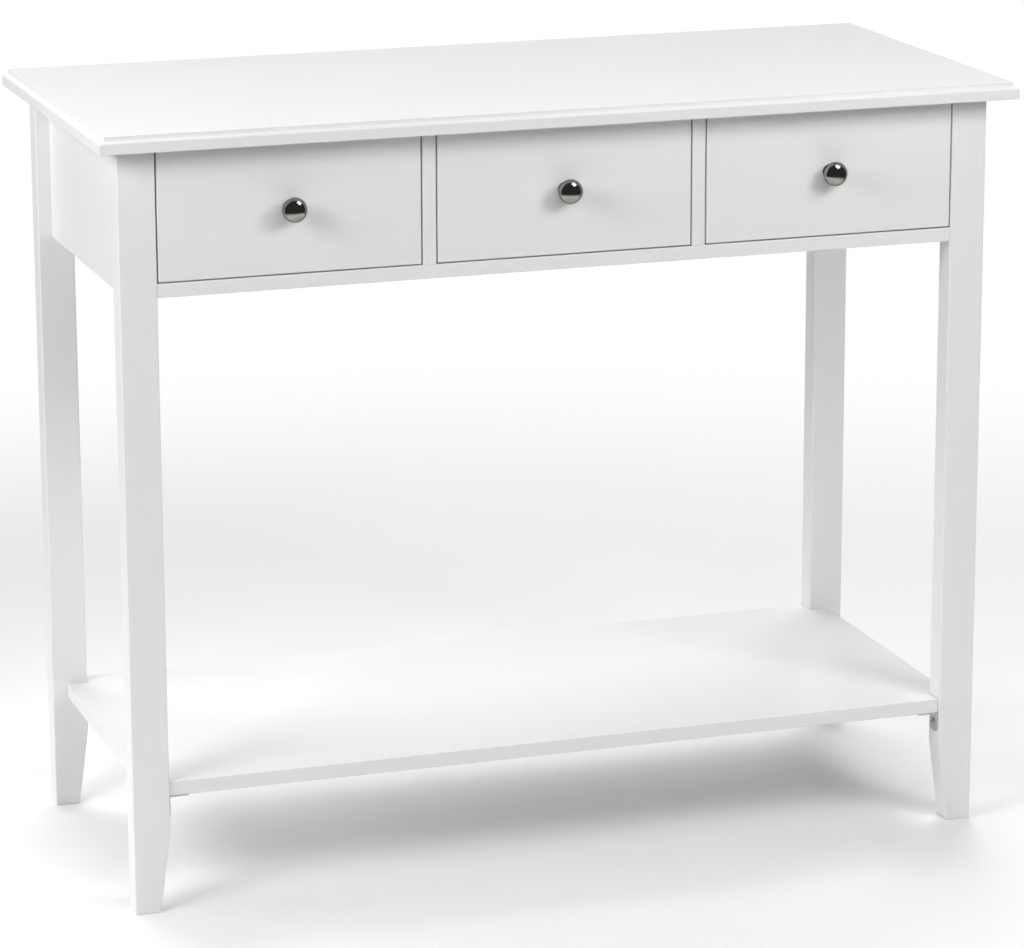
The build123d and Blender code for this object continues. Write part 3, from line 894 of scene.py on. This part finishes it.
class NodeBench(Bench):
    """A Geometry Nodes tree."""

    def __init__(self, name: str) -> None:
        """Starts a tree that takes and gives geometry.

        Args:
            name: The tree's name.
        """
        super().__init__(bpy.data.node_groups.new(name, "GeometryNodeTree"))
        for way in ("INPUT", "OUTPUT"):
            self.tree.interface.new_socket("Geometry", in_out=way, socket_type="NodeSocketGeometry")
        self.entry = self.tree.nodes.new("NodeGroupInput")

    def option(self, name: str, kind: str, value: object) -> None:
        """Adds an input.

        Args:
            name: Its name.
            kind: Its Blender socket type.
            value: Its usual value, or None for none.
        """
        socket = self.tree.interface.new_socket(name, in_out="INPUT", socket_type=kind)
        if value is not None:
            socket.default_value = value

    def lift(self, shape: Socket, height: Socket) -> Socket:
        """Returns the shape moved up by the height."""
        shift = self.node("ShaderNodeCombineXYZ", {2: height}).outputs[0]
        return self.node("GeometryNodeTransform", {"Geometry": shape, "Translation": shift}).outputs[0]

    def give(self, shape: Socket) -> None:
        """Realises the shape, gives it the material input and ends the tree.

        Args:
            shape: The tree's geometry.
        """
        real = self.node("GeometryNodeRealizeInstances", {0: shape}).outputs[0]
        source = self.entry.outputs["Material"]
        dressed = self.node("GeometryNodeSetMaterial", {"Geometry": real, "Material": source}).outputs[0]
        self.node("NodeGroupOutput", {0: dressed})


def screw_tree() -> bpy.types.NodeTree:
    """Builds the tree that stands a cross-head screw on every point, along the point's axis.

    Returns:
        The tree, with named inputs for the screw's sizes, its seed and its material.
    """
    bench = NodeBench("cross_head_screws")
    sizes = {"Head Radius": 3.75, "Head Height": 2.2, "Shank Radius": 1.75, "Shank Length": 13.0}
    for name, millimetres in sizes.items():
        bench.option(name, "NodeSocketFloat", millimetres * MM)
    bench.option("Countersunk", "NodeSocketBool", False)
    bench.option("Seed", "NodeSocketInt", 7)
    bench.option("Material", "NodeSocketMaterial", None)
    wanted = bench.entry.outputs
    head_radius, head_height = wanted["Head Radius"], wanted["Head Height"]
    shank_radius, shank_length = wanted["Shank Radius"], wanted["Shank Length"]

    head = pan_head(bench, head_radius, head_height)
    sink_depth = bench.sums("SUBTRACT", head_radius, shank_radius)
    sunk = bench.node("GeometryNodeMeshCone", {"Vertices": 32, "Radius Top": head_radius,
                                              "Radius Bottom": shank_radius, "Depth": sink_depth}).outputs[0]
    sunk = bench.lift(sunk, bench.sums("MULTIPLY", sink_depth, -1.0))
    is_sunk = wanted["Countersunk"]
    either = bench.node("GeometryNodeSwitch", {0: is_sunk, 1: head, 2: sunk}).outputs[0]
    top = bench.node("GeometryNodeSwitch", {0: is_sunk, 1: head_height, 2: 0.0}, input_type="FLOAT")
    recessed = cut_cross(bench, either, head_radius, top.outputs[0])

    shank = bench.node("GeometryNodeMeshCylinder", {
        "Vertices": SHANK_SIDES, "Radius": shank_radius, "Depth": shank_length}).outputs[0]
    shank = bench.lift(shank, bench.sums("MULTIPLY", shank_length, -0.5))
    tip = bench.node("GeometryNodeMeshCone", {
        "Vertices": SHANK_SIDES, "Radius Top": shank_radius, "Radius Bottom": SCREW_POINT,
        "Depth": shank_radius}).outputs[0]
    tip_end = bench.sums("SUBTRACT", bench.sums("MULTIPLY", shank_length, -1.0), shank_radius)
    tip = bench.lift(tip, tip_end)
    screw = bench.node("GeometryNodeJoinGeometry", {0: [recessed, shank, tip]}).outputs[0]

    axis = bench.node("GeometryNodeInputNamedAttribute", {"Name": "axis"}, data_type="FLOAT_VECTOR")
    aimed = bench.node("FunctionNodeAlignRotationToVector", {"Vector": axis.outputs[0]}, axis="Z")
    turn = bench.node("FunctionNodeRandomValue", {2: 0.0, 3: math.pi, "Seed": wanted["Seed"]},
                      data_type="FLOAT").outputs[1]
    spin = bench.node("FunctionNodeAxisAngleToRotation", {"Axis": (0.0, 0.0, 1.0), "Angle": turn})
    turned = bench.node("FunctionNodeRotateRotation", {0: aimed.outputs[0], 1: spin.outputs[0]},
                        rotation_space="LOCAL").outputs[0]
    placed = bench.node("GeometryNodeInstanceOnPoints", {
        "Points": wanted["Geometry"], "Instance": screw, "Rotation": turned}).outputs[0]
    bench.give(placed)
    return bench.tree


def pan_head(bench: NodeBench, radius: Socket, height: Socket) -> Socket:
    """Builds a domed head on its seat at Z = 0.

    Args:
        bench: The tree that it is built in.
        radius: The head's radius.
        height: The head's height.

    Returns:
        The head's geometry.
    """
    blank = bench.node("GeometryNodeMeshCylinder", {"Vertices": 40, "Side Segments": 2, "Fill Segments": 6,
                                                   "Radius": radius, "Depth": height}).outputs[0]
    blank = bench.lift(blank, bench.sums("MULTIPLY", height, 0.5))
    position = bench.node("GeometryNodeInputPosition").outputs[0]
    parts = bench.node("ShaderNodeSeparateXYZ", {0: position}).outputs
    across = bench.node("ShaderNodeVectorMath", {0: position, 1: (1.0, 1.0, 0.0)}, operation="MULTIPLY")
    across = across.outputs[0]
    distance = bench.node("ShaderNodeVectorMath", {0: across}, operation="LENGTH").outputs["Value"]
    share = bench.sums("POWER", bench.sums("DIVIDE", distance, radius), 3.0)
    keep = bench.sums("SUBTRACT", 1.0, bench.sums("MULTIPLY", share, 0.5))
    lowered = bench.sums("MULTIPLY", parts[2], keep)
    domed = bench.node("ShaderNodeCombineXYZ", {0: parts[0], 1: parts[1], 2: lowered})
    return bench.node("GeometryNodeSetPosition", {"Geometry": blank, "Position": domed.outputs[0]}).outputs[0]


def cut_cross(bench: NodeBench, head: Socket, radius: Socket, top: Socket) -> Socket:
    """Cuts a cross recess into a head that ends at the given height.

    Args:
        bench: The tree that it is built in.
        head: The head's geometry.
        radius: The head's radius.
        top: The height of the head's upper end.

    Returns:
        The head with its recess.
    """
    long_arm = bench.sums("MULTIPLY", radius, 1.2)
    short_arm = bench.sums("MULTIPLY", radius, 0.26)
    depth = bench.sums("MULTIPLY", radius, 0.75)
    arms = []
    for x, y in ((long_arm, short_arm), (short_arm, long_arm)):
        size = bench.node("ShaderNodeCombineXYZ", {0: x, 1: y, 2: depth}).outputs[0]
        arms.append(bench.lift(bench.node("GeometryNodeMeshCube", {"Size": size}).outputs[0], top))
    cut = bench.node("GeometryNodeMeshBoolean", {0: head, 1: arms}, operation="DIFFERENCE", solver="EXACT")
    return cut.outputs[0]


@dataclass
class ScrewSet:
    """All screws of one kind on one body, stood on points by the screw tree."""

    works: Workshop
    tree: bpy.types.NodeTree
    node: str
    body: str
    head: Head
    head_radius: float = 3.75 * MM
    head_height: float = 2.2 * MM
    shank_radius: float = 1.75 * MM
    sharp_degrees: float = 35.0

    def seats(self) -> list[tuple[Vector, Vector, float]]:
        """Returns (seat, axis, shank length) of each screw, read from the node's loose solids."""
        return [self.read_screw(points) for points in loose_solids(frame["nodes"][self.node].data)]

    def read_screw(self, points: list[Vector]) -> tuple[Vector, Vector, float]:
        """Finds how one CAD screw stands. Its head has more points than its tip.

        Args:
            points: The screw's points.

        Returns:
            The seat, the axis towards the head and the shank's length.
        """
        low, high = span_of(points)
        size = high - low
        along = list(size).index(max(size))
        axis = Vector((0.0, 0.0, 0.0))
        middle = (low + high) / 2
        near_high = sum(1 for point in points if point[along] > middle[along])
        axis[along] = 1.0 if near_high * 2 > len(points) else -1.0
        head_end = middle + axis * size[along] / 2
        head_height = 0.0 if self.head is Head.COUNTERSUNK else self.head_height
        return head_end - axis * head_height, axis, size[along] - head_height

    def build(self) -> None:
        """Stands the screws up and puts them in the frame."""
        seats = self.seats()
        mesh = bpy.data.meshes.new(self.node)
        mesh.from_pydata([seat for seat, _, _ in seats], [], [])
        axes = mesh.attributes.new("axis", "FLOAT_VECTOR", "POINT")
        axes.data.foreach_set("vector", [part for _, axis, _ in seats for part in axis])
        piece = new_object(f"cross_head_{self.node}", mesh)
        modifier = piece.modifiers.new("screws", "NODES")
        modifier.node_group = self.tree
        values = {
            "Head Radius": self.head_radius,
            "Head Height": self.head_height,
            "Shank Radius": self.shank_radius,
            "Shank Length": min(length for _, _, length in seats) - self.shank_radius,
            "Countersunk": self.head.value,
            "Material": self.works.shop.get(Slot.ZINC, Grain.ALONG_Z),
        }
        for item in self.tree.interface.items_tree:
            if item.in_out == "INPUT" and item.name in values:
                modifier[item.identifier] = values[item.name]
        piece.update_tag()
        bake_modifiers(piece)
        piece.data.shade_smooth()
        piece.data.set_sharp_from_angle(angle=math.radians(self.sharp_degrees))
        self.works.deliver(piece, Slot.ZINC, Grain.ALONG_Z, self.body, [self.node])


def loose_solids(mesh: bpy.types.Mesh) -> list[list[Vector]]:
    """Returns the points of each separate solid in a CAD node's mesh.

    Args:
        mesh: The node's mesh, of triangles that may not share their points.

    Returns:
        One list of points per solid.
    """
    shape = bmesh.new()
    shape.from_mesh(mesh)
    bmesh.ops.remove_doubles(shape, verts=shape.verts, dist=MERGE_DISTANCE / 2)
    waiting = set(shape.verts)
    solids = []
    while waiting:
        reached = [waiting.pop()]
        for vertex in reached:
            for edge in vertex.link_edges:
                other = edge.other_vert(vertex)
                if other in waiting:
                    waiting.remove(other)
                    reached.append(other)
        solids.append([vertex.co.copy() for vertex in reached])
    shape.free()
    return sorted(solids, key=lambda points: [round(value, 5) for value in sum(span_of(points), Vector())])


def span_of(points: Sequence[Vector]) -> tuple[Vector, Vector]:
    """Returns the lowest and the highest corner of the points' box."""
    return Vector(map(min, *points)), Vector(map(max, *points))


@dataclass
class ShelfBrackets:
    """Four angles bent from zinc-plated sheet, with round corners and screw holes."""

    works: Workshop
    sheet: float = 1.5 * MM
    bend: float = 2.2 * MM
    corner: float = 4.5 * MM
    hole: float = 2.15 * MM
    hole_reach: float = 12.0 * MM
    edge: float = 0.2 * MM
    arc_steps: int = 8

    def build(self) -> None:
        """Bends an angle for every solid of the CAD node and gives the sheet its thickness."""
        shape = bmesh.new()
        for points in loose_solids(frame["nodes"]["shelf_brackets"].data):
            self.add_angle(shape, *span_of(points))
        bmesh.ops.remove_doubles(shape, verts=shape.verts, dist=0.01 * MM)
        mesh = bpy.data.meshes.new("bent_brackets")
        shape.to_mesh(mesh)
        shape.free()
        piece = new_object("bent_brackets", mesh)
        wall = piece.modifiers.new("sheet", "SOLIDIFY")
        wall.thickness = self.sheet
        wall.offset = -1.0
        wall.use_even_offset = True
        settle(piece, bevel=self.edge, segments=2, sharp_degrees=CREASE_DEGREES)
        self.works.deliver(piece, Slot.ZINC, Grain.ALONG_Y, TABLE_BODY, ["shelf_brackets"])

    def add_angle(self, shape: bmesh.types.BMesh, low: Vector, high: Vector) -> None:
        """Adds one angle's outer skin: a flange down the leg, a bend and a flange under the shelf.

        Args:
            shape: The mesh that it is added to.
            low: The lowest corner of the angle's box.
            high: The highest corner of the angle's box.
        """
        inward = 1.0 if low.x < 0 else -1.0
        leg_face = low.x if low.x < 0 else high.x
        ends = (low.y, high.y)

        def down_leg(reach: float, y: float) -> Point:
            """Returns a point of the flange on the leg."""
            return (leg_face, y, high.z - reach)

        def under_shelf(reach: float, y: float) -> Point:
            """Returns a point of the flange under the shelf."""
            return (leg_face + inward * reach, y, high.z)

        faces = self.add_flange(shape, high.z - low.z, ends, down_leg)
        faces += self.add_flange(shape, high.x - low.x, ends, under_shelf)
        stations = []
        for step in range(self.arc_steps + 1):
            angle = math.radians(90.0 * step / self.arc_steps)
            x = leg_face + inward * self.bend * (1 - math.cos(angle))
            z = high.z - self.bend * (1 - math.sin(angle))
            stations.append([shape.verts.new((x, y, z)) for y in ends])
        for (first, second), (third, fourth) in zip(stations, stations[1:]):
            faces.append(shape.faces.new((first, second, fourth, third)))
        outward = Vector((-inward, 0.0, 1.0))
        for face in faces:
            face.normal_update()
            if face.normal.dot(outward) < 0:
                face.normal_flip()

    def add_flange(self, shape: bmesh.types.BMesh, reach: float, ends: tuple[float, float],
                   place: Callable[[float, float], Point]) -> list[bmesh.types.BMFace]:
        """Adds one flat flange with two round corners and a hole.

        Args:
            shape: The mesh that it is added to.
            reach: How far the flange runs from the corner of the angle.
            ends: The flange's two ends along Y.
            place: Turns a distance from the corner and a Y into a point.

        Returns:
            The flange's faces.
        """
        middle = sum(ends) / 2
        outline = [(self.bend, ends[0])]
        for y, start in ((ends[0] + self.corner, -90.0), (ends[1] - self.corner, 0.0)):
            for step in range(self.arc_steps + 1):
                angle = math.radians(start + 90.0 * step / self.arc_steps)
                out = reach - self.corner * (1 - math.cos(angle))
                outline.append((out, y + self.corner * math.sin(angle)))
        outline.append((self.bend, ends[1]))
        turns = 4 * self.arc_steps
        rim = [
            (self.hole_reach + self.hole * math.cos(angle), middle + self.hole * math.sin(angle))
            for angle in (2 * math.pi * turn / turns for turn in range(turns))
        ]
        edges = []
        for line in (outline, rim):
            verts = [shape.verts.new(place(*point)) for point in line]
            edges += [shape.edges.new((verts[index - 1], verts[index])) for index in range(len(verts))]
        filled = bmesh.ops.triangle_fill(shape, edges=edges, use_beauty=True)
        return [item for item in filled["geom"] if isinstance(item, bmesh.types.BMFace)]


@dataclass
class RefinedBoards:
    """The boards and fittings that no other class builds, cleaned up from the frame's own shapes.

    Each is a merged copy of its node; the boards' sharp edges are softened, so light catches them.
    """

    works: Workshop
    edge: float = 0.35 * MM
    sharp_degrees: float = 62.0
    flat_degrees: float = 0.5

    def build(self) -> None:
        """Refines every node that is still shown."""
        slots = {part["node"]: Slot(part["material_slot"]) for part in frame["record"]["subparts"]}
        for node, source in frame["nodes"].items():
            if not source.hide_render:
                self.refine(node, source, slots[node])

    def refine(self, node: str, source: Piece, slot: Slot) -> None:
        """Copies, merges and softens one node.

        Args:
            node: The node's name.
            source: Its object.
            slot: Its material slot.
        """
        mesh = source.data.copy()
        shape = bmesh.new()
        shape.from_mesh(mesh)
        bmesh.ops.remove_doubles(shape, verts=shape.verts, dist=MERGE_DISTANCE)
        flat = math.radians(self.flat_degrees)
        bmesh.ops.dissolve_limit(shape, angle_limit=flat, verts=shape.verts, edges=shape.edges)
        shape.to_mesh(mesh)
        shape.free()
        piece = new_object(f"{node}_piece", mesh)
        is_board = slot in (Slot.PAINT, Slot.BOARD, Slot.BEECH) and "dowel" not in node
        soften = self.edge if is_board else 0.0
        settle(piece, bevel=soften, segments=2, sharp_degrees=self.sharp_degrees)
        grain = longest_axis(*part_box(node))
        self.works.deliver(piece, slot, grain, source["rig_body"], [node])


# ---- Studio ----


class LampKind(Enum):
    """The kinds of studio light."""

    SOFT_BOX = "AREA"
    FAR_SKY = "SUN"


@dataclass(frozen=True)
class Lamp:
    """One soft light round the table, given by its direction and distance from the table's middle.

    The size is a soft box's side in metres, or a far light's spread in degrees. The power is in
    watts, or in watts per square metre for a far light. A light may be left out of what it lights
    or out of what polished metal mirrors.
    """

    name: str
    kind: LampKind
    azimuth: float
    elevation: float
    distance: float
    size: float
    power: float
    aim: Point = (0.0, 0.0, 0.45)
    lights: bool = True
    mirrored: bool = False

    def build(self) -> None:
        """Adds the light, turned towards the table."""
        data = bpy.data.lights.new(self.name, self.kind.value)
        data.energy = self.power
        if self.kind is LampKind.SOFT_BOX:
            data.shape = "SQUARE"
            data.size = self.size
        else:
            data.angle = math.radians(self.size)
        azimuth, elevation = math.radians(self.azimuth), math.radians(self.elevation)
        level = math.cos(elevation)
        direction = Vector((math.sin(azimuth) * level, -math.cos(azimuth) * level, math.sin(elevation)))
        lamp = bpy.data.objects.new(self.name, data)
        lamp.location = Vector(self.aim) + self.distance * direction
        lamp.rotation_euler = direction.to_track_quat("Z", "Y").to_euler()
        lamp.visible_diffuse = self.lights
        lamp.visible_glossy = self.mirrored
        bpy.context.scene.collection.objects.link(lamp)


@dataclass
class Studio:
    """Pale floor that fades into a white surround, soft lights and the camera."""

    floor_radius: float = 2.4
    floor_sides: int = 96
    fade_start: float = 0.8
    fade_end: float = 2.2
    floor_colour: Colour = (0.96, 0.96, 0.96, 1.0)
    floor_mottle: Colour = (0.945, 0.945, 0.945, 1.0)
    surround: Colour = (1.0, 1.0, 1.0, 1.0)
    ambient: Colour = (0.024, 0.024, 0.024, 1.0)
    mirrored: Colour = (0.055, 0.055, 0.060, 1.0)
    camera_place: Point = (-1.408, -4.220, 1.529)
    camera_yaw: float = -0.32336
    camera_pitch: float = -0.2540
    camera_roll: float = -0.0034
    lens: float = 152.5
    sensor: float = 36.0
    lamps: tuple[Lamp, ...] = (
        Lamp("key_left", LampKind.SOFT_BOX, -64, 28, 2.0, 0.7, 15.5),
        Lamp("key_right", LampKind.SOFT_BOX, 32, 33, 2.0, 0.7, 14.0),
        Lamp("front_fill", LampKind.SOFT_BOX, 0, 32, 3.0, 1.2, 13.5),
        Lamp("side_left", LampKind.SOFT_BOX, -105, 30, 1.0, 0.6, 2.5, aim=(-0.45, 0.0, 0.75)),
        Lamp("side_sky", LampKind.FAR_SKY, -93, 15, 3.0, 30.0, 0.85),
        Lamp("back_right", LampKind.SOFT_BOX, 140, 45, 3.0, 1.2, 16.0),
        Lamp("overhead", LampKind.SOFT_BOX, 0, 88, 1.8, 1.0, 2.7),
        Lamp("sparkle", LampKind.SOFT_BOX, 52, 53, 1.8, 0.9, 9.0, (0.0, -0.2, 0.7), False, True),
        Lamp("back_sky", LampKind.FAR_SKY, 180, 50, 3.0, 50.0, 1.72, mirrored=True),
    )

    def build(self) -> None:
        """Sets up everything that isn't the table."""
        self.build_floor()
        self.build_surround()
        for lamp in self.lamps:
            lamp.build()
        self.build_camera()
        bpy.context.scene.view_settings.view_transform = "Standard"

    def build_floor(self) -> None:
        """Lays a round pale floor with a faint mottle that fades out towards its rim."""
        sides, radius = self.floor_sides, self.floor_radius
        turns = [2 * math.pi * step / sides for step in range(sides)]
        mesh = bpy.data.meshes.new("floor")
        rim = [(radius * math.cos(turn), radius * math.sin(turn), 0.0) for turn in turns]
        mesh.from_pydata(rim, [], [tuple(range(sides))])
        floor = new_object("floor", mesh)
        recipe = Recipe("pale_floor")
        colour = recipe.blend(recipe.noise(even(3.0)), self.floor_colour, self.floor_mottle)
        place = recipe.place(even(1.0))
        reach = recipe.node("ShaderNodeVectorMath", {0: place}, operation="LENGTH").outputs["Value"]
        shader = recipe.node("ShaderNodeBsdfPrincipled", {"Base Color": colour, "Roughness": 0.9})
        gone = recipe.node("ShaderNodeBsdfTransparent")
        share = recipe.span(reach, self.fade_start, self.fade_end)
        faded = recipe.node("ShaderNodeMixShader", {0: share, 1: shader.outputs[0], 2: gone.outputs[0]})
        recipe.node("ShaderNodeOutputMaterial", {"Surface": faded.outputs[0]})
        dress(floor, recipe.material)

    def build_surround(self) -> None:
        """Makes the surround white to look at, faint as light and dark in polished metal."""
        world = bpy.data.worlds.new("studio")
        world.use_nodes = True
        bench = Bench(world.node_tree)
        ray = bench.node("ShaderNodeLightPath").outputs
        lit = bench.blend(ray["Is Glossy Ray"], self.ambient, self.mirrored)
        colour = bench.blend(ray["Is Camera Ray"], lit, self.surround)
        background = bench.node("ShaderNodeBackground", {0: colour}).outputs[0]
        bench.node("ShaderNodeOutputWorld", {0: background})
        bpy.context.scene.world = world

    def build_camera(self) -> None:
        """Stands the camera to the left of the table, above it and looking down a little."""
        data = bpy.data.cameras.new("camera")
        data.lens = self.lens
        data.sensor_width = self.sensor
        data.clip_end = 100.0
        camera = bpy.data.objects.new("camera", data)
        yaw = Matrix.Rotation(self.camera_yaw, 4, "Z")
        pitch = Matrix.Rotation(math.pi / 2 + self.camera_pitch, 4, "X")
        roll = Matrix.Rotation(self.camera_roll, 4, "Z")
        camera.matrix_world = Matrix.Translation(self.camera_place) @ yaw @ pitch @ roll
        bpy.context.scene.collection.objects.link(camera)
        bpy.context.scene.camera = camera


# ---- The table ----


def screw_sets(works: Workshop) -> list[ScrewSet]:
    """Lists every set of screws on the table and its drawers.

    Args:
        works: What finishes them.

    Returns:
        The sets.
    """
    tree = screw_tree()
    sets = [
        ScrewSet(works, tree, "bracket_screws", TABLE_BODY, Head.PAN),
        ScrewSet(works, tree, "runner_screws", TABLE_BODY, Head.PAN),
        ScrewSet(works, tree, "divider_screws", TABLE_BODY, Head.COUNTERSUNK),
    ]
    for side in ("left", "middle", "right"):
        body = f"drawer_{side}"
        knob_screw = {"head_radius": 4.0 * MM, "head_height": 2.6 * MM, "shank_radius": 2.0 * MM}
        sets.append(ScrewSet(works, tree, f"{body}_knob_screw", body, Head.PAN, **knob_screw))
        sets.append(ScrewSet(works, tree, f"{body}_back_screws", body, Head.COUNTERSUNK))
    return sets


def main() -> None:
    """Builds the studio and every part of the table, in order."""
    logging.basicConfig(level=logging.INFO, format="%(name)s: %(message)s")
    works = Workshop()
    Studio().build()
    TopPanel(works).build()
    Legs(works).build()
    LowerShelf(works).build()
    DrawerFronts(works).build()
    Knobs(works).build()
    for screws in screw_sets(works):
        screws.build()
    ShelfBrackets(works).build()
    RefinedBoards(works).build()
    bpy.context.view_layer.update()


if __name__ == "__main__":
    main()
